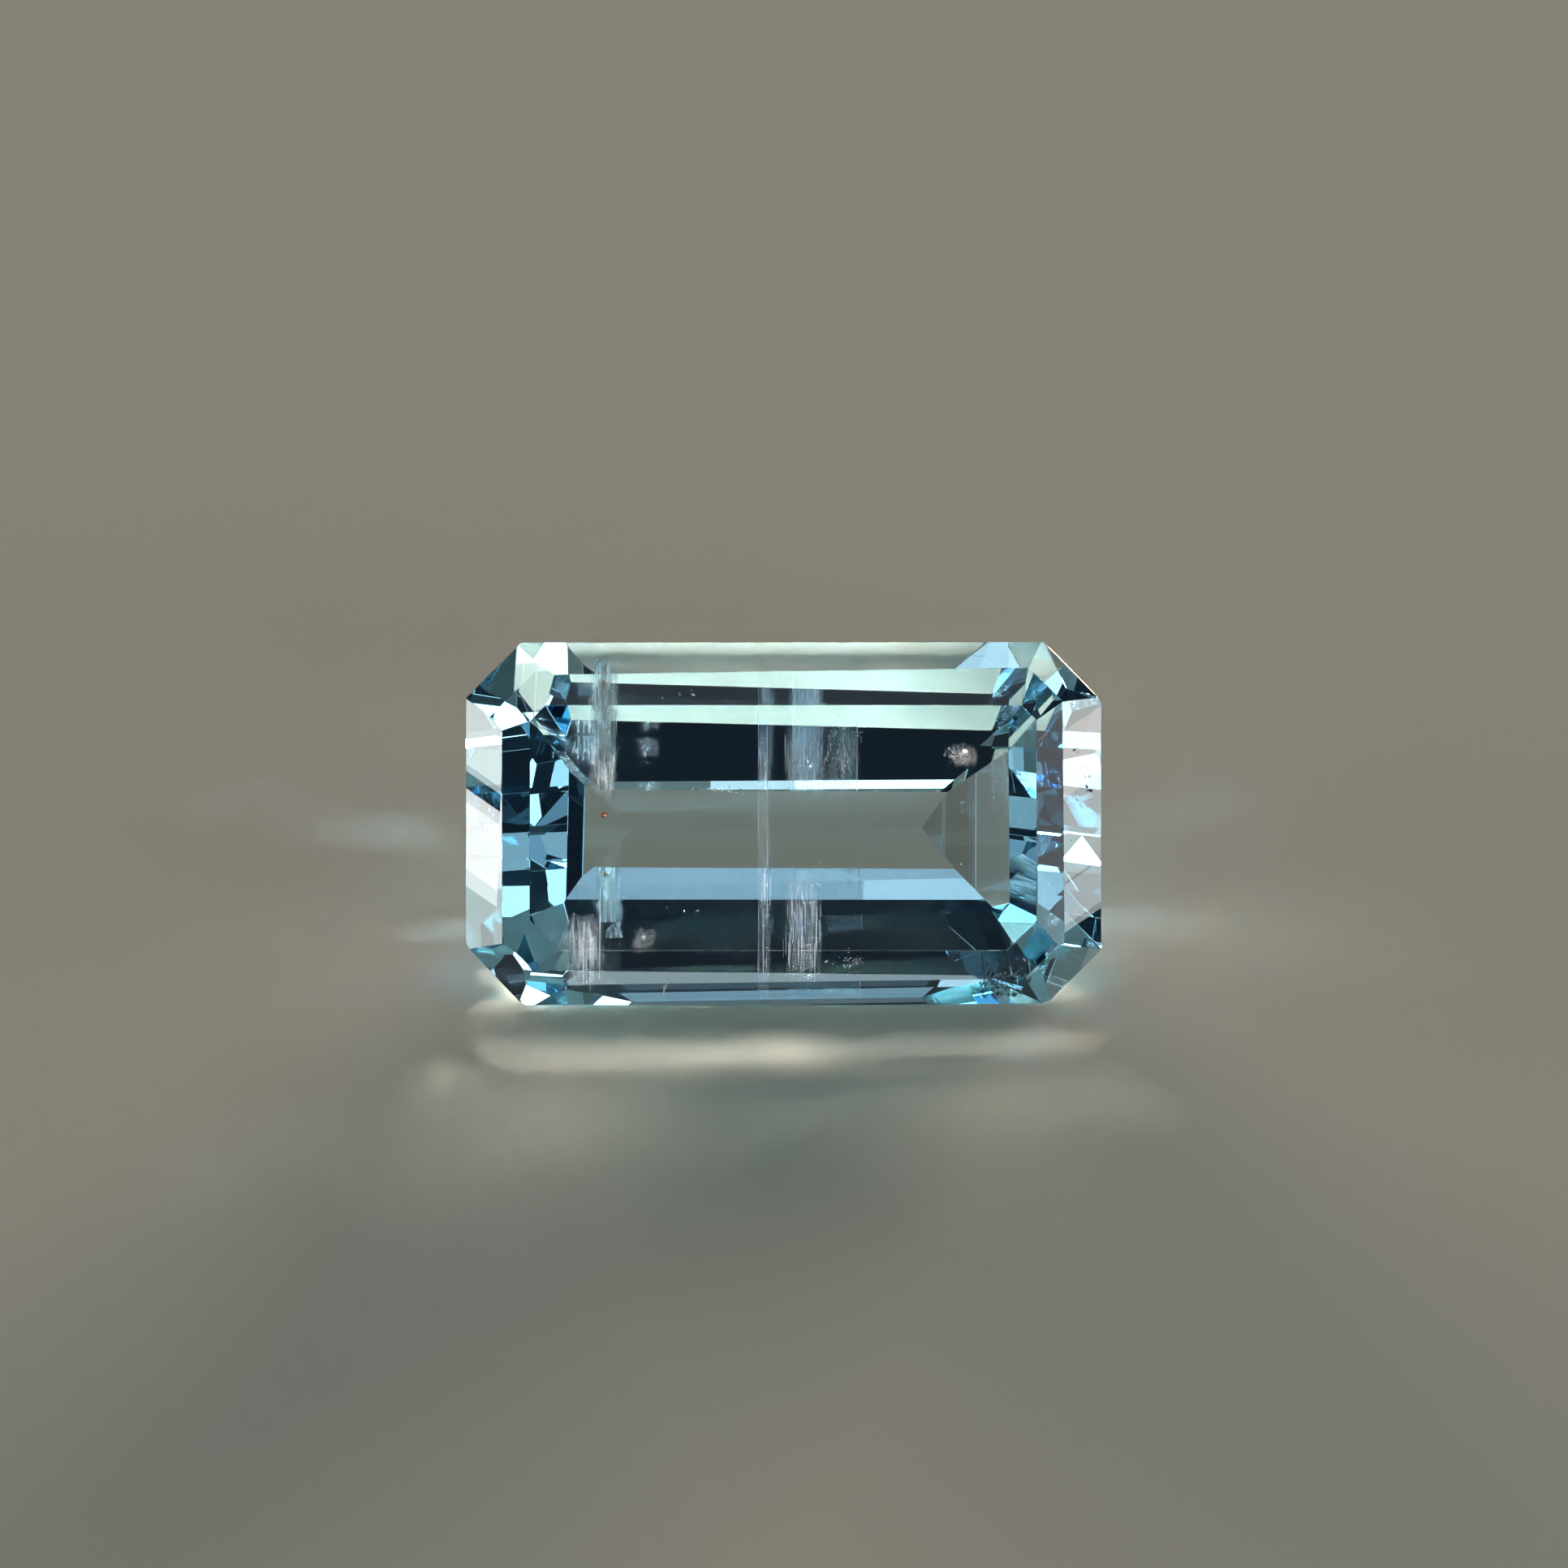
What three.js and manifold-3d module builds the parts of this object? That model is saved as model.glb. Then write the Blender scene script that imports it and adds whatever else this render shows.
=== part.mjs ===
// A faceted gemstone of jeremejevite: a long step cut with cut corners, polished on all sides.
// Millimetres, +Z up. The stone lies on one long facet of its pavilion, as a loose stone does,
// so its table leans towards -Y. X runs along its length. The origin is on the surface that it
// rests on, under the middle of its box.
import * as THREE from "three";
import { mergeVertices } from "three/addons/utils/BufferGeometryUtils.js";
import Module from "manifold-3d";

const wasm = await Module();
wasm.setup();

// The girdle is the widest outline of the stone. Its corners are cut off at 45 degrees, and
// the table closes the crown above it.
const GIRDLE_LENGTH = 8.0;
const GIRDLE_WIDTH = 4.58;
const GIRDLE_THICKNESS = 0.02;
const CORNER_CUT = 0.7;
const TABLE_HEIGHT = 0.51;

// The block of rough that the stone is ground from, and the block that each facet grinds away.
const ROUGH_SIZE = 12;
const GROUND_SIZE = 40;

const CORNER_FACES = Math.SQRT1_2 * (GIRDLE_LENGTH / 2 - CORNER_CUT + GIRDLE_WIDTH / 2);

// The sides of the stone, as seen from above with the table up. Each has the direction that it
// faces, in degrees from +X, and the distance of its girdle from the stone's axis. A step of
// its crown or pavilion has the angle that it makes with the girdle's plane, and its width as
// seen from above. A crown ends at the table, so its last step needs no angle, and a pavilion
// ends at the keel, so its last step needs no width. A twist is the small turn, in degrees, by
// which a facet cut by hand misses the direction of its side.
const SIDES = {
  north: {
    faces: 90,
    girdle: GIRDLE_WIDTH / 2,
    crown: [{ angle: 43.7, width: 0.4, twist: 0.6 }, { width: 0.44 }],
    pavilion: [
      { angle: 51.6, width: 1.19, twist: -0.3 },
      { angle: 49.1, width: 0.6, twist: -0.2 },
      { angle: 29.4, width: 0.38 },
      { angle: 24.8 },
    ],
  },
  south: {
    faces: 270,
    girdle: GIRDLE_WIDTH / 2,
    crown: [{ angle: 49.8, width: 0.37, twist: -0.5 }, { width: 0.28 }],
    pavilion: [
      { angle: 55.5, width: 1.17, twist: 1.1 },
      { angle: 35.4, width: 0.64, twist: 0.5 },
      { angle: 29.5, twist: 0.7 },
    ],
  },
  east: {
    faces: 0,
    girdle: GIRDLE_LENGTH / 2,
    crown: [{ angle: 37.2, width: 0.48, twist: 0.2 }, { width: 0.34 }],
    pavilion: [{ angle: 54.7, width: 1.15, twist: 0.2 }, { angle: 36.7 }],
  },
  west: {
    faces: 180,
    girdle: GIRDLE_LENGTH / 2,
    crown: [{ angle: 42.1, width: 0.46, twist: 0.1 }, { width: 0.35 }],
    pavilion: [
      { angle: 56.3, width: 1.27, twist: -0.6 },
      { angle: 45.8, width: 0.2, twist: -0.3 },
      { angle: 29.2, twist: 0.6 },
    ],
  },
  northEast: {
    faces: 45,
    girdle: CORNER_FACES,
    crown: [{ angle: 42.5, width: 0.4 }, { width: 0.41 }],
    pavilion: [{ angle: 61, twist: -1.8 }],
  },
  northWest: {
    faces: 135,
    girdle: CORNER_FACES,
    crown: [{ angle: 34.8, width: 0.4 }, { width: 0.41 }],
    pavilion: [{ angle: 53.9, twist: -4.3 }],
  },
  southEast: {
    faces: 315,
    girdle: CORNER_FACES,
    crown: [{ angle: 44.4, width: 0.4 }, { width: 0.41 }],
    pavilion: [{ angle: 52.1 }],
  },
  southWest: {
    faces: 225,
    girdle: CORNER_FACES,
    crown: [{ angle: 49.4, width: 0.4 }, { width: 0.41 }],
    pavilion: [{ angle: 55.5, twist: -2.4 }],
  },
};

const UP = new THREE.Vector3(0, 0, 1);
const DOWN = new THREE.Vector3(0, 0, -1);

const degrees = THREE.MathUtils.degToRad;

// A closed three.js geometry as a manifold-3d solid.
function solidOf(geometry) {
  const bare = geometry.clone();
  bare.deleteAttribute("normal");
  bare.deleteAttribute("uv");
  const merged = mergeVertices(bare);
  const vertProperties = merged.attributes.position.array;
  const triVerts = new Uint32Array(merged.index.array);
  return new wasm.Manifold(new wasm.Mesh({ numProp: 3, vertProperties, triVerts }));
}

// A manifold-3d solid as a three.js geometry.
function geometryOf(solid) {
  const mesh = solid.getMesh();
  const geometry = new THREE.BufferGeometry();
  geometry.setAttribute("position", new THREE.BufferAttribute(mesh.vertProperties, 3));
  geometry.setIndex(new THREE.BufferAttribute(mesh.triVerts, 1));
  geometry.computeVertexNormals();
  return geometry;
}

// Grinds one facet: everything beyond the plane through its point, square to its direction, is
// taken off the rough.
function grind(rough, facet) {
  const ground = new THREE.BoxGeometry(GROUND_SIZE, GROUND_SIZE, GROUND_SIZE);
  ground.translate(0, 0, GROUND_SIZE / 2);
  ground.applyQuaternion(new THREE.Quaternion().setFromUnitVectors(UP, facet.direction));
  ground.translate(facet.point.x, facet.point.y, facet.point.z);
  return rough.subtract(solidOf(ground));
}

// The direction that a facet faces. Rise is the height of its direction over the girdle's
// plane: up on the crown, down on the pavilion and level on the girdle.
function facing(bearing, rise) {
  const level = Math.cos(rise);
  return new THREE.Vector3(level * Math.cos(bearing), level * Math.sin(bearing), Math.sin(rise));
}

// The facets of one side's crown (up = 1) or pavilion (up = -1), from the girdle inwards.
function stepsOf(side, steps, up) {
  const facets = [];
  let out = side.girdle;
  let height = GIRDLE_THICKNESS / 2;
  for (const step of steps) {
    const toTable = Math.atan2(GIRDLE_THICKNESS / 2 + TABLE_HEIGHT - height, step.width);
    const angle = step.angle === undefined ? toTable : degrees(step.angle);
    const bearing = degrees(side.faces);
    const point = facing(bearing, 0).multiplyScalar(out).setZ(up * height);
    const twist = degrees(step.twist ?? 0);
    const direction = facing(bearing + twist, up * (Math.PI / 2 - angle));
    facets.push({ point, direction });
    out -= step.width ?? 0;
    height += (step.width ?? 0) * Math.tan(angle);
  }
  return facets;
}

function girdleFacet(side) {
  const direction = facing(degrees(side.faces), 0);
  return { point: direction.clone().multiplyScalar(side.girdle), direction };
}

const table = {
  point: new THREE.Vector3(0, 0, GIRDLE_THICKNESS / 2 + TABLE_HEIGHT),
  direction: UP,
};

const facets = [table];
for (const side of Object.values(SIDES)) {
  facets.push(girdleFacet(side));
  facets.push(...stepsOf(side, side.crown, 1));
  facets.push(...stepsOf(side, side.pavilion, -1));
}

let stone = solidOf(new THREE.BoxGeometry(ROUGH_SIZE, ROUGH_SIZE, ROUGH_SIZE));
for (const facet of facets) {
  stone = grind(stone, facet);
}

const crystal = new THREE.MeshStandardMaterial({
  color: "#a9c9d6",
  roughness: 0.03,
  flatShading: true,
  metalness: 0,
  transparent: true,
  opacity: 0.55,
});

const cutStone = new THREE.Mesh(geometryOf(stone), crystal);
cutStone.name = "cut_stone";

// Lays the stone on the first step of its south pavilion, with that facet on Z = 0 and the
// middle of the stone's box over the origin.
const [resting] = stepsOf(SIDES.south, SIDES.south.pavilion, -1);
const laid = new THREE.Group();
laid.add(cutStone);
laid.quaternion.setFromUnitVectors(resting.direction, DOWN);

const part = new THREE.Group();
part.add(laid);
const box = new THREE.Box3().setFromObject(part, true);
const middle = box.getCenter(new THREE.Vector3());
laid.position.set(-middle.x, -middle.y, -box.min.z);

export default part;
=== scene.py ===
import math
import random

import bmesh
import bpy
from mathutils import Euler, Matrix, Vector, noise
from mathutils.bvhtree import BVHTree


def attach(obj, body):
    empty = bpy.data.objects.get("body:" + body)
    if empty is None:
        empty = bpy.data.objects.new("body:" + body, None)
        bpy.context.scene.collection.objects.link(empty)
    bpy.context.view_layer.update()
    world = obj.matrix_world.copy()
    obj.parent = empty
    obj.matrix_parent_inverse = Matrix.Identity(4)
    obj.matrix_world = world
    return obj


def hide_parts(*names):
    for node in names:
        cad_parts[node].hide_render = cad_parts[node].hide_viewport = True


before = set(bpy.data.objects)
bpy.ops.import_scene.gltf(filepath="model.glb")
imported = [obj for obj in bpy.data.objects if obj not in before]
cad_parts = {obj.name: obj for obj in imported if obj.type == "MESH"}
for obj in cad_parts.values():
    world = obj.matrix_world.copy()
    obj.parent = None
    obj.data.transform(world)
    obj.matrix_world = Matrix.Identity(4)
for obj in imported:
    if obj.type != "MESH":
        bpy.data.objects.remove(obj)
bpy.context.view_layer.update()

# The script is in metres, and small sizes are written in millimetres.
MM = 0.001

# The crystal, and the hair-thin rounding along its edges. What it absorbs is what colours it.
REFRACTIVE_INDEX = 1.645
BODY_COLOUR = (0.0, 0.68, 0.91, 1.0)
BODY_DENSITY = 115.0
EDGE_WIDTH = 0.012 * MM
SAME_POINT = 0.0005 * MM
SAME_FACET = math.radians(0.05)

# What is sealed in the crystal or lies in its skin. Places are in millimetres from the table's
# middle, along the stone and across it, depths are in millimetres below the table, and sizes are
# in millimetres. A name that ends in SPREAD holds a middle and a spread, for gauss, and one that
# ends in RANGE holds the least and the most, for uniform.
MOTTLE_STOPS = (0.35, 0.65)
FIBRE_SIDES = 5
FIBRE_TAPER = 0.6
FLAKE_WIDTH_RANGE = (0.6, 1.0)
GRAIN_DETAIL = 3.0
ABOVE_TABLE = 1.0

# A film is a thin wavy sheet. Its outline and its surface wander with noise, each at a frequency
# of its own and in a slice of the noise of its own.
FILM_COLUMNS = 10
FILM_ROWS_PER_MM = 24
FEWEST_FILM_ROWS = 8
FILM_THICKNESS = 0.006
FILM_WAVE = 0.05
FILM_FADE = 0.25
FILM_STREAK = (0.03, 0.4, 0.4)
FILM_ROUGHNESS = 0.6
STREAK_DETAIL = 4.0
THIN_SPOTS = (0.3, 0.7)
THINNEST = 0.25
SWAY_WAVES = 2.5
SWAY_SLICE = 0.0
EDGE_WAVES = 6.0
EDGE_SLICE = 3.0
FRAY_WAVES = 4.0
FRAY_SLICE = 7.0
HEAVE_WAVES = 3.0
HEAVE_SLICE = 11.0

# The feather. Each film has its reach along the stone and across it, its depth, how ragged its
# outline is, the phase of its waves and, where it isn't 1, its strength. Each long thread has its
# top, its foot, its depth and its radius.
FEATHER_FILMS = (
    ((-2.44, -2.08), (0.40, 2.10), 0.66, 0.06, 1.0),
    ((-2.40, -2.20), (1.10, 2.12), 0.58, 0.06, 2.0),
    ((-2.36, -2.10), (0.55, 1.70), 0.80, 0.05, 3.0),
    ((-2.28, -2.12), (0.35, 1.20), 0.64, 0.05, 6.0),
    ((-2.75, -2.25), (-1.84, -1.05), 0.62, 0.10, 4.0),
    ((-2.66, -2.40), (-1.80, -1.20), 0.68, 0.10, 5.0),
)
FEATHER_THREADS = 60
THREAD_PLACE_SPREAD = (-2.22, 0.06)
THREAD_FOOT_RANGE = (0.45, 1.5)
THREAD_DEPTH_SPREAD = (0.72, 0.06)
THREAD_LENGTH_RANGE = (0.1, 0.45)
THREAD_LEAN_SPREAD = (0, 0.015)
THREAD_RADIUS_RANGE = (0.0015, 0.004)
TAIL_THREADS = 14
TAIL_PLACE_SPREAD = (-2.45, 0.08)
TAIL_TOP_RANGE = (-1.5, -1.1)
TAIL_LENGTH_RANGE = (0.1, 0.35)
TAIL_DEPTH = 0.7
TAIL_RADIUS = 0.003
FEATHER_GRAINS = 60
GRAIN_PLACE_SPREAD = (-2.22, 0.07)
GRAIN_HEIGHT_RANGE = (0.6, 2.0)
GRAIN_DEPTH_SPREAD = (0.7, 0.05)
GRAIN_SIZE_RANGE = (0.005, 0.014)
LONG_THREADS = (
    ((-2.30, -0.54), (-2.31, -1.72), 0.55, 0.006),
    ((-2.33, 1.9), (-2.32, 0.5), 0.60, 0.005),
)

# The rust along the feather: where each stain is, and its size.
STAINS = ((-2.25, 1.80, 0.05), (-2.20, 1.28, 0.035), (-2.27, 0.20, 0.05), (-2.23, -0.56, 0.04))
STAIN_FLAKES = 10
STAIN_DEPTH_SPREAD = (0.55, 0.02)
STAIN_SHARE_RANGE = (0.25, 0.6)

# The growth lines and their haze. Each line has its place along the stone, its top, its foot and
# its radius.
HAZE_FILMS = (
    ((-0.34, -0.14), (-2.02, 2.15), 0.50, 0.015, 21.0, 0.45),
    ((-0.31, -0.19), (-1.1, -0.4), 0.48, 0.015, 26.0),
    ((-0.31, -0.19), (0.4, 1.4), 0.48, 0.015, 27.0),
    ((0.02, 0.50), (-1.9, -0.5), 0.45, 0.03, 22.0),
    ((0.00, 0.42), (0.35, 1.4), 0.45, 0.03, 23.0),
    ((0.42, 0.98), (0.35, 1.45), 0.60, 0.05, 24.0),
    ((0.60, 0.96), (0.7, 1.4), 0.52, 0.08, 25.0),
)
GROWTH_LINES = (
    (-0.31, 1.8, -2.0, 0.003), (-0.275, -0.5, -0.9, 0.006), (-0.235, -0.5, -0.95, 0.009),
    (-0.2, 1.3, -1.2, 0.004), (-0.165, -0.52, -0.95, 0.005), (-0.25, -1.0, -1.8, 0.004),
    (0.93, 1.38, 0.48, 0.006), (0.12, 1.9, 0.6, 0.003), (0.30, 1.3, 0.5, 0.003),
)
LINE_DEPTH = 0.45
SHORT_LINES = 34
SHORT_LINE_DEPTH = 0.42
SHORT_LINE_PLACE_RANGE = (0.0, 0.48)
SHORT_LINE_LENGTH_RANGE = (0.08, 0.4)
SOUTHERN_SHARE = 0.7
SOUTHERN_TOP_RANGE = (-1.45, -0.85)
NORTHERN_TOP_RANGE = (0.8, 1.3)

# The healed cracks: strings of bubbles side by side, and clouds of them, each with its place, its
# spread and how many it holds.
CRACK_STRINGS = 7
FIRST_STRING = 0.5
STRING_SPACING = 0.07
STRING_TOP_RANGE = (0.75, 1.35)
STRING_LENGTH_RANGE = (0.2, 0.6)
STRING_DEPTH_SPREAD = (0.55, 0.02)
STRING_LEAN_SPREAD = (0, 0.12)
STRING_PHASE_RANGE = (0, 6)
STRING_SWAY = 0.03
STRING_WAVES = 9
BUBBLES_PER_MM = 60
BUBBLE_STRAY_SPREAD = (0, 0.01)
BUBBLE_SIZE_RANGE = (0.003, 0.010)
BUBBLE_FLATNESS = 0.25
CRACK_CLOUDS = (
    (0.86, -1.62, 0.10, 60), (2.15, 0.95, 0.08, 60),
    (-1.76, -1.38, 0.05, 20), (0.75, 1.28, 0.12, 40),
)
CLOUD_DEPTH = 0.5
CLOUD_SIZE_RANGE = (0.004, 0.014)
CLOUD_FLATNESS = 0.3

# The bright crystals, each with its place and size, with small ones round it, and a row of them.
BRIGHT_CRYSTALS = (
    (0.34, 0.79, 0.022), (0.31, 0.86, 0.012), (0.47, -0.43, 0.020), (0.44, -0.70, 0.014),
    (-1.76, -1.37, 0.030), (0.54, -1.64, 0.016), (2.28, 0.98, 0.040), (-0.68, 0.53, 0.018),
    (-1.13, 1.66, 0.020), (-1.30, 1.66, 0.014), (-1.52, 1.62, 0.014), (1.21, 0.14, 0.010),
)
CRYSTAL_FLATNESS = 0.8
CRYSTAL_DEPTH = 0.35
SIDE_CRYSTALS = 3
SIDE_SHARE_RANGE = (0.2, 0.5)
ROW_CRYSTALS = 30
ROW_PLACE_RANGE = (-1.15, -0.45)
ROW_HEIGHT_SPREAD = (0.5, 0.02)
ROW_DEPTH = 0.5
ROW_SIZE_RANGE = (0.006, 0.016)

# The rosy clouds, as films.
CLOUD_FILMS = (
    ((2.05, 2.46), (0.78, 1.10), 0.50, 0.06, 31.0),
    ((2.12, 2.40), (0.82, 1.06), 0.46, 0.05, 32.0),
    ((-1.90, -1.60), (-1.52, -1.24), 0.50, 0.06, 33.0),
)
CLOUD_GRAIN = (0.08, 0.08, 0.08)

# The brown specks in the skin of the crown, each with its place and size, and the dust round them.
BROWN_SPECKS = (
    (3.68, 1.00, 0.03), (3.80, 0.68, 0.02), (3.86, 0.68, 0.02), (3.88, 0.48, 0.05),
    (3.52, 0.33, 0.02),
)
SPECK_FLAKES = 5
SPECK_COVER = 0.004
SPECK_SHARE_RANGE = (0.3, 0.8)
SPECK_DUST = 45
DUST_COVER = 0.002
DUST_PLACE_RANGE = (3.5, 3.88)
DUST_HEIGHT_SPREAD = (0.6, 0.45)
DUST_SIZE_RANGE = (0.004, 0.012)

# The bruise under the skin of the south-east corner, and the pale flecks and hairs over it.
BRUISE_FLAKES = 130
BRUISE_COVER = 0.07
BRUISE_PLACE_RANGE = (2.45, 3.1)
BRUISE_HEIGHT_RANGE = (-2.08, -1.62)
BRUISE_SIZE_RANGE = (0.01, 0.05)
BRUISE_FLATNESS = 0.2
PALE_FLECKS = 60
FLECK_COVER = 0.035
FLECK_PLACE_SPREAD = (2.75, 0.15)
FLECK_HEIGHT_RANGE = (-2.08, -1.75)
FLECK_SIZE_RANGE = (0.003, 0.014)
PALE_HAIRS = 12
HAIR_COVER = 0.04
HAIR_RADIUS = 0.003
HAIR_PLACE_SPREAD = (2.7, 0.15)
HAIR_HEIGHT_RANGE = (-2.08, -1.85)
HAIR_REACH_RANGE = (0.05, 0.2)
HAIR_RISE_RANGE = (0.02, 0.12)

# The scratches in the skin of the crown, each with its ends and its radius.
SCRATCHES = (
    ((-1.44, -1.88), (-1.51, -2.07), 0.010),
    ((-1.48, -1.98), (-1.52, -2.08), 0.014),
    ((0.95, -1.90), (0.98, -2.06), 0.003),
    ((-2.42, -1.88), (-2.44, -2.0), 0.004),
)
SCRATCH_COVER = 0.004

# The camera looks at the table of the stone almost squarely, from far away with a long lens.
CAMERA_TURN = math.radians(4.5)
CAMERA_DISTANCE = 260 * MM
CAMERA_CLIP = (0.01, 10.0)
FRAME_WIDTH = 19.71 * MM
TABLE_IN_FRAME = (-0.01 * MM, -0.55 * MM)
SENSOR_WIDTH = 36.0

# The floor is a pale sheet, a hair under the stone.
FLOOR_REACH = 1.5
FLOOR_GAP = 0.02 * MM
FLOOR_COLOUR = (0.62, 0.69, 0.575, 1.0)
FLOOR_ROUGHNESS = 0.9

# The studio's walls are grey low down, where they meet the floor, and dark above. Their heights
# are the sine of the angle above the horizon.
WALL_TOP = 0.08
CEILING_FOOT = 0.16
WALL_COLOUR = (0.25, 0.26, 0.23, 1.0)
CEILING_COLOUR = (0.012, 0.015, 0.02, 1.0)

# The softboxes: the range of azimuth and of elevation that each fills, in degrees, how bright it
# is, and its colour. Many are narrow, and aimed so that single facets mirror them to the camera.
# Each stands a little behind the one before it, so that none lies in another's plane.
LIGHT_DISTANCE = 0.8
LIGHT_SPACING = 0.005
NEUTRAL = (1.0, 1.0, 1.0)
WARM = (1.0, 0.63, 0.54)
COOL = (0.78, 0.90, 1.0)
SKY = (0.55, 0.82, 1.0)
GREENISH = (0.92, 1.0, 0.97)
SOFTBOXES = (
    ("back_low", (165, 195), (0.5, 2.5), 30.0, WARM),
    ("back_low_left", (195, 225), (2.5, 5), 165.0, WARM),
    ("back_low_right", (135, 165), (0.5, 4.5), 200.0, WARM),
    ("back_foot_right", (135, 165), (0.5, 2.5), 175.0, WARM),
    ("back", (150, 210), (5, 10), 3.0, COOL),
    ("back_right", (132, 144), (27, 34), 4.5, NEUTRAL),
    ("high_left", (-135, -105), (42, 62), 0.75, SKY),
    ("high_right", (105, 135), (42, 62), 0.75, SKY),
    ("left_low", (-105, -75), (0.5, 7.44), 5.5, GREENISH),
    ("left_low_core", (-105, -75), (7.15, 7.44), 4.5, NEUTRAL),
    ("left_low_heart", (-105, -75), (7.2, 7.4), 3.0, NEUTRAL),
    ("left_high", (-105, -75), (7.49, 10), 5.5, GREENISH),
    ("left_high_core", (-105, -75), (7.51, 7.7), 4.0, GREENISH),
    ("right", (72, 86), (11, 15.5), 4.0, GREENISH),
    ("right_core", (72, 86), (11.15, 11.68), 2.5, GREENISH),
    ("right_heart", (72, 86), (11.4, 11.6), 2.5, WARM),
    ("right_foot", (72, 86), (11.02, 11.14), 2.5, COOL),
    ("right_low", (45, 54), (12, 16), 3.2, NEUTRAL),
    ("right_edge", (73, 79), (8.5, 11), 4.0, NEUTRAL),
    ("front_left_low", (-75, -45), (0.5, 10), 1.3, NEUTRAL),
    ("front_left", (-75, -45), (24, 33), 1.1, NEUTRAL),
    ("front_right_low", (15, 45), (5, 10), 0.4, NEUTRAL),
    ("front_right", (15, 45), (16, 24), 2.5, NEUTRAL),
    ("front", (-15, 15), (24, 27.5), 2.5, NEUTRAL),
    ("front_low", (-15, -9), (20.5, 26), 1.3, NEUTRAL),
    ("front_high", (-15, 15), (39.7, 46.5), 0.52, COOL),
    ("front_high_glow", (0.05, 6), (39.7, 41), 0.4, COOL),
    ("front_high_left", (-14.5, -9.5), (33, 39), 1.8, NEUTRAL),
    ("front_high_top", (-3, 3), (48.1, 49.2), 0.6, COOL),
    ("front_foot", (-0.75, 6), (0.7, 2.2), 0.9, NEUTRAL),
    ("front_foot_core", (-0.45, 6), (0.7, 2.2), 1.3, NEUTRAL),
    ("front_foot_left", (-12, -5), (2, 5), 1.8, NEUTRAL),
    ("front_left_high", (-45, -15), (42, 52), 0.6, NEUTRAL),
    ("front_right_side", (45, 75), (24, 33), 1.3, NEUTRAL),
    ("front_right_foot", (45, 75), (0.5, 5), 4.5, NEUTRAL),
    ("front_top", (-22, 22), (62, 72), 0.4, COOL),
    ("top", (0, 60), (83, 90), 0.5, NEUTRAL),
)

# How often light is followed round inside the crystal, and how bright a glint may be.
INNER_BOUNCES = 40
BRIGHTEST_GLINT = 60.0


def named_material(name):
    """A new node material, with its tree's nodes and links and its main shader."""
    material = bpy.data.materials.new(name)
    material.use_nodes = True
    tree = material.node_tree
    return material, tree.nodes, tree.links, tree.nodes["Principled BSDF"]


def mesh_object(name, bm, material):
    """An object at the origin that holds the finished mesh."""
    mesh = bpy.data.meshes.new(name)
    bm.to_mesh(mesh)
    bm.free()
    made = bpy.data.objects.new(name, mesh)
    made.data.materials.append(material)
    bpy.context.scene.collection.objects.link(made)
    return made


def polished_crystal():
    """Clear pale blue crystal, with the absorption in its body."""
    material, nodes, links, shader = named_material("polished_crystal")
    shader.inputs["Base Color"].default_value = (1.0, 1.0, 1.0, 1.0)
    shader.inputs["Roughness"].default_value = 0.0
    shader.inputs["IOR"].default_value = REFRACTIVE_INDEX
    shader.inputs["Transmission Weight"].default_value = 1.0
    body = nodes.new("ShaderNodeVolumeAbsorption")
    body.inputs["Color"].default_value = BODY_COLOUR
    body.inputs["Density"].default_value = BODY_DENSITY
    links.new(body.outputs["Volume"], nodes["Material Output"].inputs["Volume"])
    return material


def polished_stone():
    """The cut stone, with the hair-thin rounding that polishing leaves along its edges."""
    bm = bmesh.new()
    bm.from_mesh(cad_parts["cut_stone"].data)
    bmesh.ops.remove_doubles(bm, verts=bm.verts, dist=SAME_POINT)
    bmesh.ops.dissolve_limit(bm, angle_limit=SAME_FACET, verts=bm.verts, edges=bm.edges)
    bmesh.ops.bevel(
        bm,
        geom=bm.edges[:],
        offset=EDGE_WIDTH,
        segments=1,
        profile=0.5,
        affect="EDGES",
        material=-1,
        clamp_overlap=True,
    )
    bmesh.ops.dissolve_degenerate(bm, dist=SAME_POINT, edges=bm.edges[:])
    return mesh_object("polished_stone", bm, polished_crystal())


def mottle(nodes, links, shader, speckle, light, dark):
    """Colours the shader between dark and light, as the speckle's noise goes."""
    ramp = nodes.new("ShaderNodeValToRGB")
    for stop, position, colour in zip(ramp.color_ramp.elements, MOTTLE_STOPS, (dark, light)):
        stop.position = position
        stop.color = (*colour, 1.0)
    links.new(speckle.outputs["Fac"], ramp.inputs["Fac"])
    links.new(ramp.outputs["Color"], shader.inputs["Base Color"])


def sealed_material(name, light, dark, grain, opacity, roughness=0.5):
    """The look of small solid things in the crystal: uneven in colour, in grains of one size."""
    material, nodes, links, shader = named_material(name)
    where = nodes.new("ShaderNodeTexCoord")
    speckle = nodes.new("ShaderNodeTexNoise")
    speckle.inputs["Scale"].default_value = 1.0 / (grain * MM)
    speckle.inputs["Detail"].default_value = GRAIN_DETAIL
    links.new(where.outputs["Object"], speckle.inputs["Vector"])
    mottle(nodes, links, shader, speckle, light, dark)
    shader.inputs["Roughness"].default_value = roughness
    shader.inputs["Alpha"].default_value = opacity
    return material


def inside(x, y, depth):
    """A point in the crystal: along the stone, across it and below its table."""
    return table_middle + (across * x + up * y - out * depth) * MM


def beneath(x, y, below):
    """A point a little below the skin, where a line square to the table goes into the stone."""
    skin = stone_skin.ray_cast(inside(x, y, -ABOVE_TABLE), -out)[0]
    return skin - out * below * MM


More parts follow.
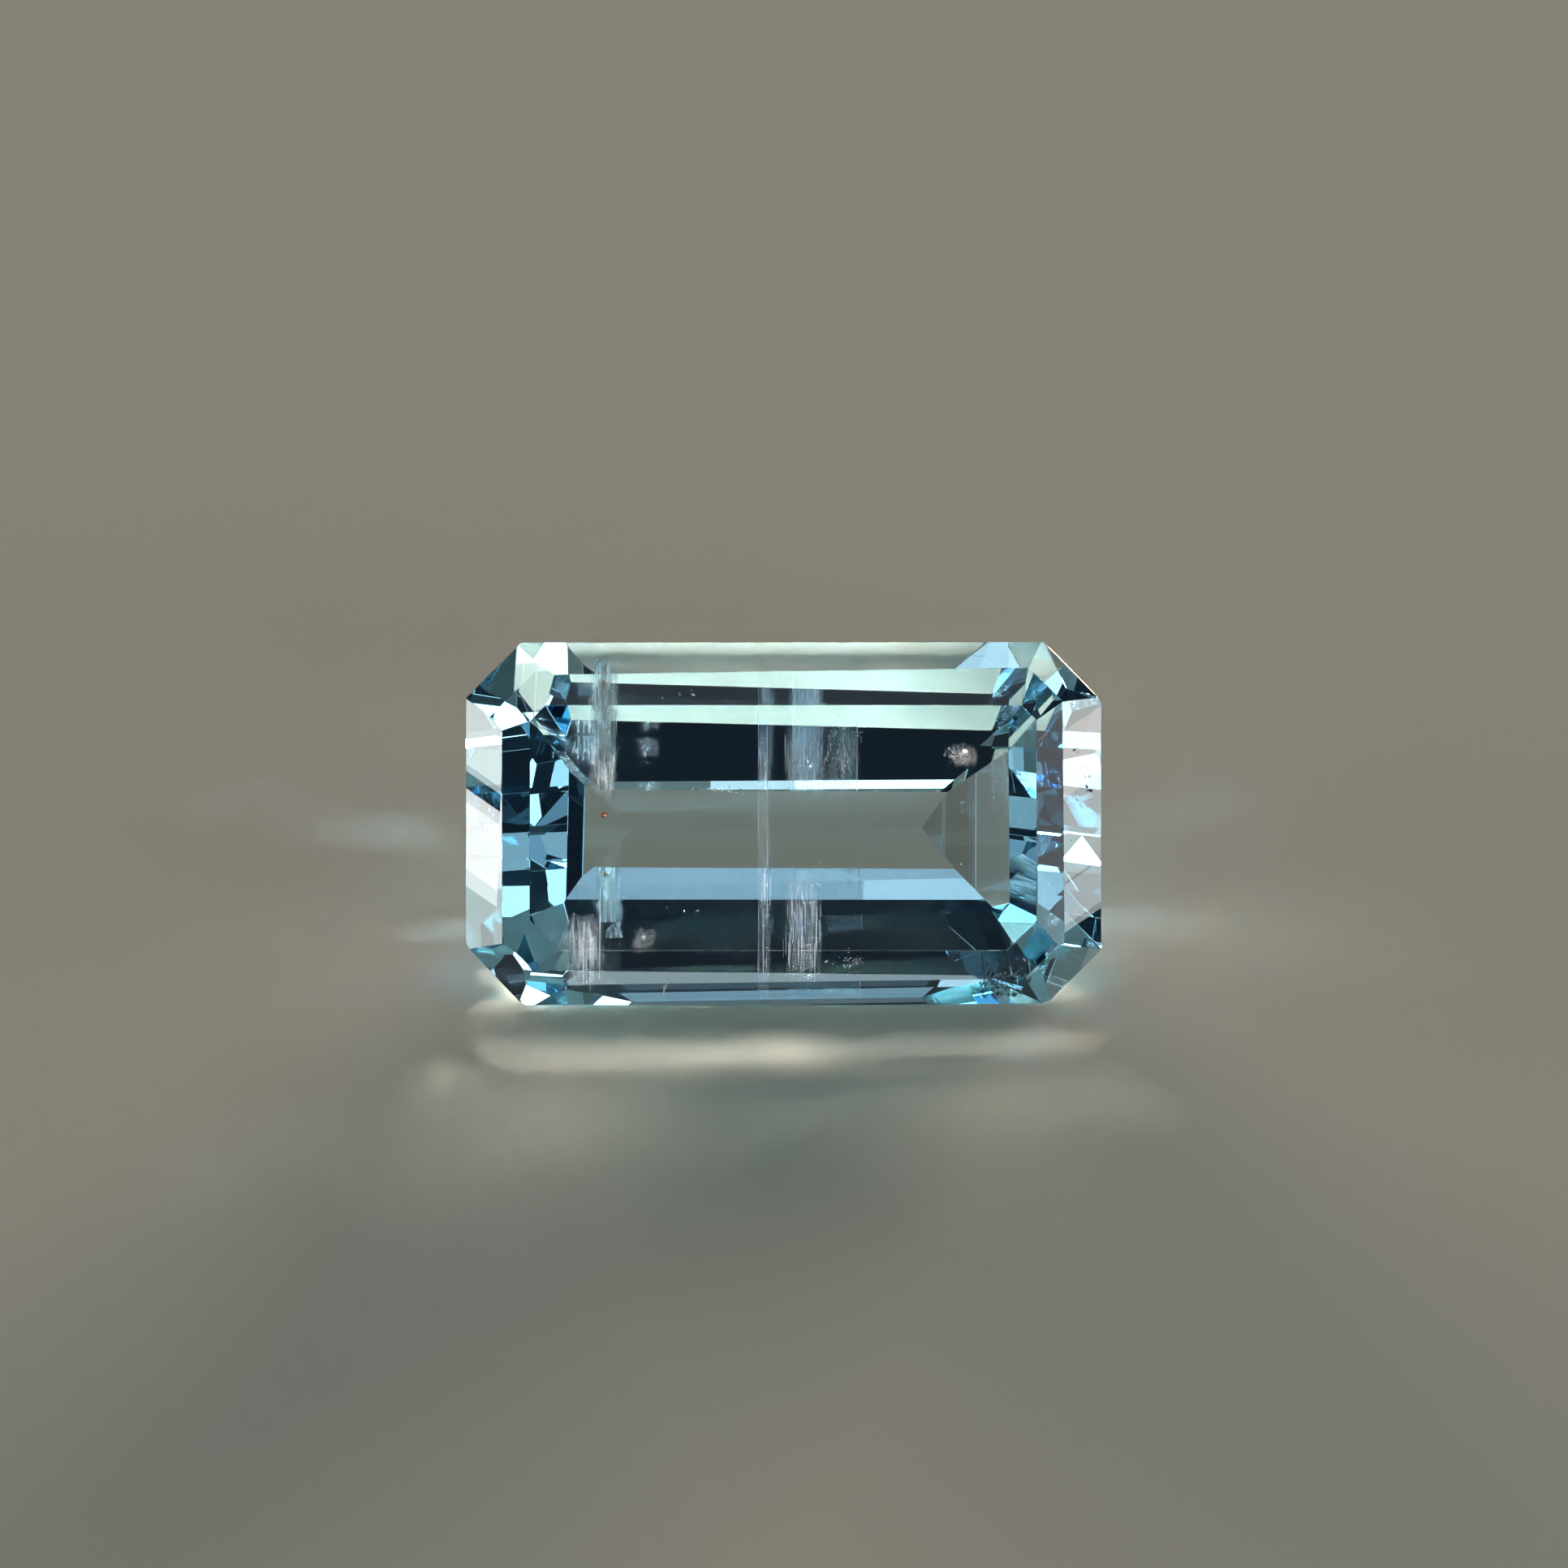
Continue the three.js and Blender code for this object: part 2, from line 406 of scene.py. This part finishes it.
def fibre(bm, start, end, radius):
    """A straight thread with closed ends.

    to_track_quat takes a run of less than 0.1 mm along X and Y together as an upright one, so
    short threads come out turned away from their run."""
    run = end - start
    turn = run.to_track_quat("Z", "Y").to_matrix().to_4x4()
    bmesh.ops.create_cone(
        bm,
        cap_ends=True,
        segments=FIBRE_SIDES,
        radius1=radius * MM,
        radius2=radius * MM * FIBRE_TAPER,
        depth=run.length,
        matrix=Matrix.Translation((start + end) / 2) @ turn,
    )


def flake(bm, chance, at, size, flatness=0.35):
    """A small grain, flattened one way and turned by chance."""
    turn = Euler([chance.uniform(0, math.pi) for _ in range(3)]).to_matrix().to_4x4()
    width = size * MM * chance.uniform(*FLAKE_WIDTH_RANGE)
    sizes = (size * MM, width, size * MM * flatness)
    matrix = Matrix.Translation(at) @ turn @ Matrix.Diagonal((*sizes, 1.0))
    bmesh.ops.create_icosphere(bm, subdivisions=1, radius=1.0, matrix=matrix)


def film_material(name, light, dark, opacity, streak=FILM_STREAK):
    """The look of a thin film in the crystal: streaky, and fading away towards its edges."""
    material, nodes, links, shader = named_material(name)
    where = nodes.new("ShaderNodeTexCoord")
    stretch = nodes.new("ShaderNodeMapping")
    stretch.inputs["Scale"].default_value = [1.0 / (size * MM) for size in streak]
    speckle = nodes.new("ShaderNodeTexNoise")
    speckle.inputs["Scale"].default_value = 1.0
    speckle.inputs["Detail"].default_value = STREAK_DETAIL
    density = nodes.new("ShaderNodeMapRange")
    density.inputs["From Min"].default_value = THIN_SPOTS[0]
    density.inputs["From Max"].default_value = THIN_SPOTS[1]
    density.inputs["To Min"].default_value = THINNEST * opacity
    density.inputs["To Max"].default_value = opacity
    cover = nodes.new("ShaderNodeAttribute")
    cover.attribute_name = "cover"
    veiled = nodes.new("ShaderNodeMath")
    veiled.operation = "MULTIPLY"
    links.new(where.outputs["Object"], stretch.inputs["Vector"])
    links.new(stretch.outputs["Vector"], speckle.inputs["Vector"])
    mottle(nodes, links, shader, speckle, light, dark)
    links.new(speckle.outputs["Fac"], density.inputs["Value"])
    links.new(density.outputs["Result"], veiled.inputs[0])
    links.new(cover.outputs["Fac"], veiled.inputs[1])
    links.new(veiled.outputs["Value"], shader.inputs["Alpha"])
    shader.inputs["Roughness"].default_value = FILM_ROUGHNESS
    return material


def film(bm, along, athwart, depth, raggedness, phase, strength=1.0):
    """A thin wavy sheet with a ragged outline, closed all round. Its cover fades at its edges."""
    cover = bm.verts.layers.float.get("cover") or bm.verts.layers.float.new("cover")
    length = athwart[1] - athwart[0]
    rows = max(FEWEST_FILM_ROWS, int(length * FILM_ROWS_PER_MM))
    made = bmesh.ops.create_grid(bm, x_segments=FILM_COLUMNS, y_segments=rows, size=1.0)
    for vert in made["verts"]:
        u, v = vert.co.x, vert.co.y
        sway = noise.noise(Vector((phase, v * length * SWAY_WAVES, SWAY_SLICE))) * raggedness
        edge = noise.noise(Vector((phase + u, v * length * EDGE_WAVES, EDGE_SLICE))) * raggedness
        fray = noise.noise(Vector((phase + u * FRAY_WAVES, v, FRAY_SLICE))) * raggedness
        heave = noise.noise(Vector((phase + u, v * HEAVE_WAVES, HEAVE_SLICE))) * FILM_WAVE
        x = sum(along) / 2 + u * (along[1] - along[0]) / 2 + sway + edge * abs(u)
        y = sum(athwart) / 2 + v * length / 2 + fray
        ends = min(1.0, (1.0 - abs(v)) * length / 2 / min(FILM_FADE, length / 3))
        vert[cover] = (1.0 - u * u) * ends * strength
        vert.co = inside(x, y, depth + heave)
    faces = {face for vert in made["verts"] for face in vert.link_faces}
    bmesh.ops.solidify(bm, geom=list(faces), thickness=FILM_THICKNESS * MM)


def sealed_piece(name, bm, material):
    """A finished piece of what the crystal holds, which moves with the stone."""
    bmesh.ops.recalc_face_normals(bm, faces=bm.faces)
    piece = mesh_object(name, bm, material)
    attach(piece, "root")
    return piece


def feather():
    """The whitish feather that crosses the stone near its west end: films, threads and grains."""
    chance = random.Random(3)
    films = bmesh.new()
    for shape in FEATHER_FILMS:
        film(films, *shape)
    look = film_material("feather_film", (0.80, 0.86, 0.88), (0.42, 0.45, 0.45), opacity=0.7)
    sealed_piece("feather_films", films, look)
    threads = bmesh.new()
    for _ in range(FEATHER_THREADS):
        x = chance.gauss(*THREAD_PLACE_SPREAD)
        y = chance.uniform(*THREAD_FOOT_RANGE)
        depth = chance.gauss(*THREAD_DEPTH_SPREAD)
        length = chance.uniform(*THREAD_LENGTH_RANGE)
        top = inside(x + chance.gauss(*THREAD_LEAN_SPREAD), y + length, depth)
        fibre(threads, top, inside(x, y, depth), chance.uniform(*THREAD_RADIUS_RANGE))
    for _ in range(TAIL_THREADS):
        x = chance.gauss(*TAIL_PLACE_SPREAD)
        top = chance.uniform(*TAIL_TOP_RANGE)
        foot = top - chance.uniform(*TAIL_LENGTH_RANGE)
        fibre(threads, inside(x, top, TAIL_DEPTH), inside(x, foot, TAIL_DEPTH), TAIL_RADIUS)
    for top, foot, depth, radius in LONG_THREADS:
        fibre(threads, inside(*top, depth), inside(*foot, depth), radius)
    for _ in range(FEATHER_GRAINS):
        x = chance.gauss(*GRAIN_PLACE_SPREAD)
        y = chance.uniform(*GRAIN_HEIGHT_RANGE)
        at = inside(x, y, chance.gauss(*GRAIN_DEPTH_SPREAD))
        flake(threads, chance, at, chance.uniform(*GRAIN_SIZE_RANGE))
    look = sealed_material(
        "feather_thread", (0.95, 0.95, 0.92), (0.6, 0.62, 0.6), grain=0.05, opacity=0.6
    )
    sealed_piece("feather_threads", threads, look)


def iron_stains():
    """Rust-brown spots along the feather."""
    chance = random.Random(5)
    bm = bmesh.new()
    for x, y, size in STAINS:
        for _ in range(STAIN_FLAKES):
            place = (x + chance.gauss(0, size / 3), y + chance.gauss(0, size / 2))
            at = inside(*place, chance.gauss(*STAIN_DEPTH_SPREAD))
            flake(bm, chance, at, size * chance.uniform(*STAIN_SHARE_RANGE))
    look = sealed_material("rust", (0.60, 0.25, 0.05), (0.14, 0.05, 0.02), grain=0.03, opacity=0.95)
    sealed_piece("iron_stains", bm, look)


def growth_lines():
    """Fine straight growth lines across the stone, with the pale haze that they carry."""
    chance = random.Random(7)
    haze = bmesh.new()
    for shape in HAZE_FILMS:
        film(haze, *shape)
    look = film_material("growth_haze", (0.80, 0.88, 0.95), (0.50, 0.60, 0.70), opacity=0.20)
    sealed_piece("growth_haze", haze, look)
    lines = bmesh.new()
    for x, top, foot, radius in GROWTH_LINES:
        fibre(lines, inside(x, top, LINE_DEPTH), inside(x, foot, LINE_DEPTH), radius)
    for _ in range(SHORT_LINES):
        x = chance.uniform(*SHORT_LINE_PLACE_RANGE)
        southern = chance.random() < SOUTHERN_SHARE
        top = chance.uniform(*(SOUTHERN_TOP_RANGE if southern else NORTHERN_TOP_RANGE))
        foot = top - chance.uniform(*SHORT_LINE_LENGTH_RANGE)
        ends = (inside(x, top, SHORT_LINE_DEPTH), inside(x, foot, SHORT_LINE_DEPTH))
        fibre(lines, *ends, chance.uniform(*THREAD_RADIUS_RANGE))
    look = sealed_material(
        "growth_line", (0.85, 0.93, 1.0), (0.55, 0.65, 0.8), grain=0.2, opacity=0.35
    )
    sealed_piece("growth_lines", lines, look)


def healed_cracks():
    """A wisp of tiny healed cracks beside the growth lines, seen as strings of bubbles."""
    chance = random.Random(11)
    bm = bmesh.new()
    for order in range(CRACK_STRINGS):
        phase = chance.uniform(*STRING_PHASE_RANGE)
        lean = chance.gauss(*STRING_LEAN_SPREAD)
        length = chance.uniform(*STRING_LENGTH_RANGE)
        top = chance.uniform(*STRING_TOP_RANGE)
        for k in range(int(length * BUBBLES_PER_MM)):
            y = top - k / BUBBLES_PER_MM
            sway = STRING_SWAY * math.sin(phase + STRING_WAVES * y)
            x = FIRST_STRING + STRING_SPACING * order + lean * (top - y) + sway
            stray = chance.gauss(*BUBBLE_STRAY_SPREAD)
            at = inside(x + stray, y, chance.gauss(*STRING_DEPTH_SPREAD))
            flake(bm, chance, at, chance.uniform(*BUBBLE_SIZE_RANGE), BUBBLE_FLATNESS)
    for x, y, spread, count in CRACK_CLOUDS:
        for _ in range(count):
            place = (x + chance.gauss(0, spread), y + chance.gauss(0, spread / 2))
            at = inside(*place, CLOUD_DEPTH)
            flake(bm, chance, at, chance.uniform(*CLOUD_SIZE_RANGE), CLOUD_FLATNESS)
    look = sealed_material(
        "crack_white", (0.88, 0.94, 0.96), (0.5, 0.6, 0.65), grain=0.05, opacity=0.5
    )
    sealed_piece("healed_cracks", bm, look)


def tiny_crystals():
    """Tiny bright crystals."""
    chance = random.Random(13)
    bm = bmesh.new()
    for x, y, size in BRIGHT_CRYSTALS:
        flake(bm, chance, inside(x, y, CRYSTAL_DEPTH), size, CRYSTAL_FLATNESS)
        for _ in range(SIDE_CRYSTALS):
            place = (x + chance.gauss(0, size), y + chance.gauss(0, size))
            at = inside(*place, CRYSTAL_DEPTH)
            flake(bm, chance, at, size * chance.uniform(*SIDE_SHARE_RANGE), CRYSTAL_FLATNESS)
    for _ in range(ROW_CRYSTALS):
        place = (chance.uniform(*ROW_PLACE_RANGE), chance.gauss(*ROW_HEIGHT_SPREAD))
        at = inside(*place, ROW_DEPTH)
        flake(bm, chance, at, chance.uniform(*ROW_SIZE_RANGE), CRYSTAL_FLATNESS)
    look = sealed_material(
        "crystal_white", (1.0, 1.0, 1.0), (0.8, 0.85, 0.9), grain=0.02, opacity=1.0, roughness=0.15
    )
    sealed_piece("tiny_crystals", bm, look)


def rosy_cloud():
    """A soft rosy cloud near the east end, and a fainter one by the feather."""
    bm = bmesh.new()
    for shape in CLOUD_FILMS:
        film(bm, *shape)
    look = film_material(
        "rosy_cloud", (0.74, 0.71, 0.74), (0.46, 0.41, 0.45), opacity=0.4, streak=CLOUD_GRAIN
    )
    sealed_piece("rosy_cloud", bm, look)


def end_specks():
    """Brown specks in the skin of the crown at the east end."""
    chance = random.Random(17)
    bm = bmesh.new()
    for x, y, size in BROWN_SPECKS:
        for _ in range(SPECK_FLAKES):
            place = (x + chance.gauss(0, size / 2), y + chance.gauss(0, size / 2))
            share = chance.uniform(*SPECK_SHARE_RANGE)
            flake(bm, chance, beneath(*place, SPECK_COVER), size * share)
    for _ in range(SPECK_DUST):
        place = (chance.uniform(*DUST_PLACE_RANGE), chance.gauss(*DUST_HEIGHT_SPREAD))
        flake(bm, chance, beneath(*place, DUST_COVER), chance.uniform(*DUST_SIZE_RANGE))
    look = sealed_material(
        "brown_speck", (0.20, 0.12, 0.05), (0.03, 0.02, 0.015), grain=0.02, opacity=0.9
    )
    sealed_piece("end_specks", bm, look)


def bruise():
    """The dark bruise under the skin of the south-east corner, with pale flecks over it."""
    chance = random.Random(19)
    dark = bmesh.new()
    for _ in range(BRUISE_FLAKES):
        place = (chance.uniform(*BRUISE_PLACE_RANGE), chance.uniform(*BRUISE_HEIGHT_RANGE))
        size = chance.uniform(*BRUISE_SIZE_RANGE)
        flake(dark, chance, beneath(*place, BRUISE_COVER), size, BRUISE_FLATNESS)
    look = sealed_material(
        "bruise_dark", (0.10, 0.10, 0.10), (0.02, 0.02, 0.03), grain=0.05, opacity=0.55
    )
    sealed_piece("bruise", dark, look)
    pale = bmesh.new()
    for _ in range(PALE_FLECKS):
        place = (chance.gauss(*FLECK_PLACE_SPREAD), chance.uniform(*FLECK_HEIGHT_RANGE))
        flake(pale, chance, beneath(*place, FLECK_COVER), chance.uniform(*FLECK_SIZE_RANGE))
    for _ in range(PALE_HAIRS):
        x = chance.gauss(*HAIR_PLACE_SPREAD)
        y = chance.uniform(*HAIR_HEIGHT_RANGE)
        end = (x + chance.uniform(*HAIR_REACH_RANGE), y + chance.uniform(*HAIR_RISE_RANGE))
        fibre(pale, beneath(x, y, HAIR_COVER), beneath(*end, HAIR_COVER), HAIR_RADIUS)
    look = sealed_material(
        "fleck_white", (0.9, 0.9, 0.9), (0.6, 0.6, 0.62), grain=0.03, opacity=0.8
    )
    sealed_piece("bruise_flecks", pale, look)


def crown_scratches():
    """Small scratches in the crown's polish: bright hairs in its skin."""
    bm = bmesh.new()
    for start, end, radius in SCRATCHES:
        fibre(bm, beneath(*start, SCRATCH_COVER), beneath(*end, SCRATCH_COVER), radius)
    look = sealed_material(
        "scratch_white", (1.0, 1.0, 1.0), (0.8, 0.85, 0.9), grain=0.03, opacity=0.9
    )
    sealed_piece("crown_scratches", bm, look)


def softbox(distance, name, azimuth, elevation, radiance, colour):
    """A rectangular light that faces the stone and fills a range of azimuth and of elevation.

    Azimuth 0 is on the camera's side and 90 is +X. Both are in degrees."""
    turn, rise = (math.radians(sum(ends) / 2) for ends in (azimuth, elevation))
    width, height = (
        2 * distance * math.tan(math.radians(ends[1] - ends[0]) / 2)
        for ends in (azimuth, elevation)
    )
    width *= math.cos(rise)
    lamp = bpy.data.lights.new("softbox_" + name, "AREA")
    lamp.shape = "RECTANGLE"
    lamp.size = width
    lamp.size_y = height
    lamp.energy = radiance * width * height * math.pi
    lamp.color = colour
    made = bpy.data.objects.new("softbox_" + name, lamp)
    level = math.cos(rise)
    away = Vector((math.sin(turn) * level, -math.cos(turn) * level, math.sin(rise)))
    made.location = away * distance
    made.rotation_euler = away.to_track_quat("Z", "Y").to_euler()
    made.visible_camera = False
    bpy.context.scene.collection.objects.link(made)


def studio_walls():
    """The light that comes from the room itself, by height above the horizon."""
    world = bpy.data.worlds.new("studio")
    world.use_nodes = True
    nodes, links = world.node_tree.nodes, world.node_tree.links
    sight = nodes.new("ShaderNodeTexCoord")
    split = nodes.new("ShaderNodeSeparateXYZ")
    ramp = nodes.new("ShaderNodeValToRGB")
    ramp.color_ramp.elements[0].position = WALL_TOP
    ramp.color_ramp.elements[0].color = WALL_COLOUR
    ramp.color_ramp.elements[1].position = CEILING_FOOT
    ramp.color_ramp.elements[1].color = CEILING_COLOUR
    links.new(sight.outputs["Generated"], split.inputs["Vector"])
    links.new(split.outputs["Z"], ramp.inputs["Fac"])
    links.new(ramp.outputs["Color"], nodes["Background"].inputs["Color"])
    bpy.context.scene.world = world


stone = polished_stone()
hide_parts("cut_stone")
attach(stone, "root")

# The table is the stone's largest facet. It gives the stone's own directions: across is along
# its length, up is along its width and out is square to the table.
table = max(stone.data.polygons, key=lambda face: face.area)
corners = [stone.data.vertices[i].co for i in table.vertices]
out = table.normal.copy()
sides = [end - start for start, end in zip(corners, corners[1:] + corners[:1])]
across = max(sides, key=lambda side: side.length).normalized()
across = across * math.copysign(1.0, across.x)
up = out.cross(across)
table_middle = Vector([
    (min(c[k] for c in corners) + max(c[k] for c in corners)) / 2 for k in range(3)
])

stone_skin = BVHTree.FromPolygons(
    [vert.co for vert in stone.data.vertices],
    [face.vertices for face in stone.data.polygons],
)

# Sealed in the crystal.
feather()
iron_stains()
growth_lines()
healed_cracks()
tiny_crystals()
rosy_cloud()
end_specks()
bruise()
crown_scratches()

# Floor.
floor_mesh = bmesh.new()
bmesh.ops.create_grid(floor_mesh, x_segments=1, y_segments=1, size=FLOOR_REACH)
bmesh.ops.translate(floor_mesh, verts=floor_mesh.verts, vec=(0, 0, -FLOOR_GAP))
material, nodes, links, shader = named_material("floor_paint")
shader.inputs["Base Color"].default_value = FLOOR_COLOUR
shader.inputs["Roughness"].default_value = FLOOR_ROUGHNESS
shader.inputs["Specular IOR Level"].default_value = 0.0
floor = mesh_object("floor", floor_mesh, material)

# Lights.
for order, light in enumerate(SOFTBOXES):
    softbox(LIGHT_DISTANCE + order * LIGHT_SPACING, *light)
studio_walls()

# Camera. It sees the table's middle a little under the middle of the frame.
towards = Matrix.Rotation(CAMERA_TURN, 3, across) @ out
raised = towards.cross(across)
camera = bpy.data.cameras.new("camera")
camera.sensor_width = SENSOR_WIDTH
camera.lens = SENSOR_WIDTH * CAMERA_DISTANCE / FRAME_WIDTH
camera.clip_start, camera.clip_end = CAMERA_CLIP
eye = bpy.data.objects.new("camera", camera)
eye.matrix_world = Matrix((across, raised, towards)).transposed().to_4x4()
aim = table_middle - across * TABLE_IN_FRAME[0] - raised * TABLE_IN_FRAME[1]
eye.location = aim + towards * CAMERA_DISTANCE
bpy.context.scene.collection.objects.link(eye)
bpy.context.scene.camera = eye

scene = bpy.context.scene
scene.view_settings.view_transform = "Standard"
scene.cycles.max_bounces = INNER_BOUNCES
scene.cycles.glossy_bounces = INNER_BOUNCES
scene.cycles.transmission_bounces = INNER_BOUNCES
scene.cycles.sample_clamp_indirect = BRIGHTEST_GLINT
scene.cycles.blur_glossy = 0.0
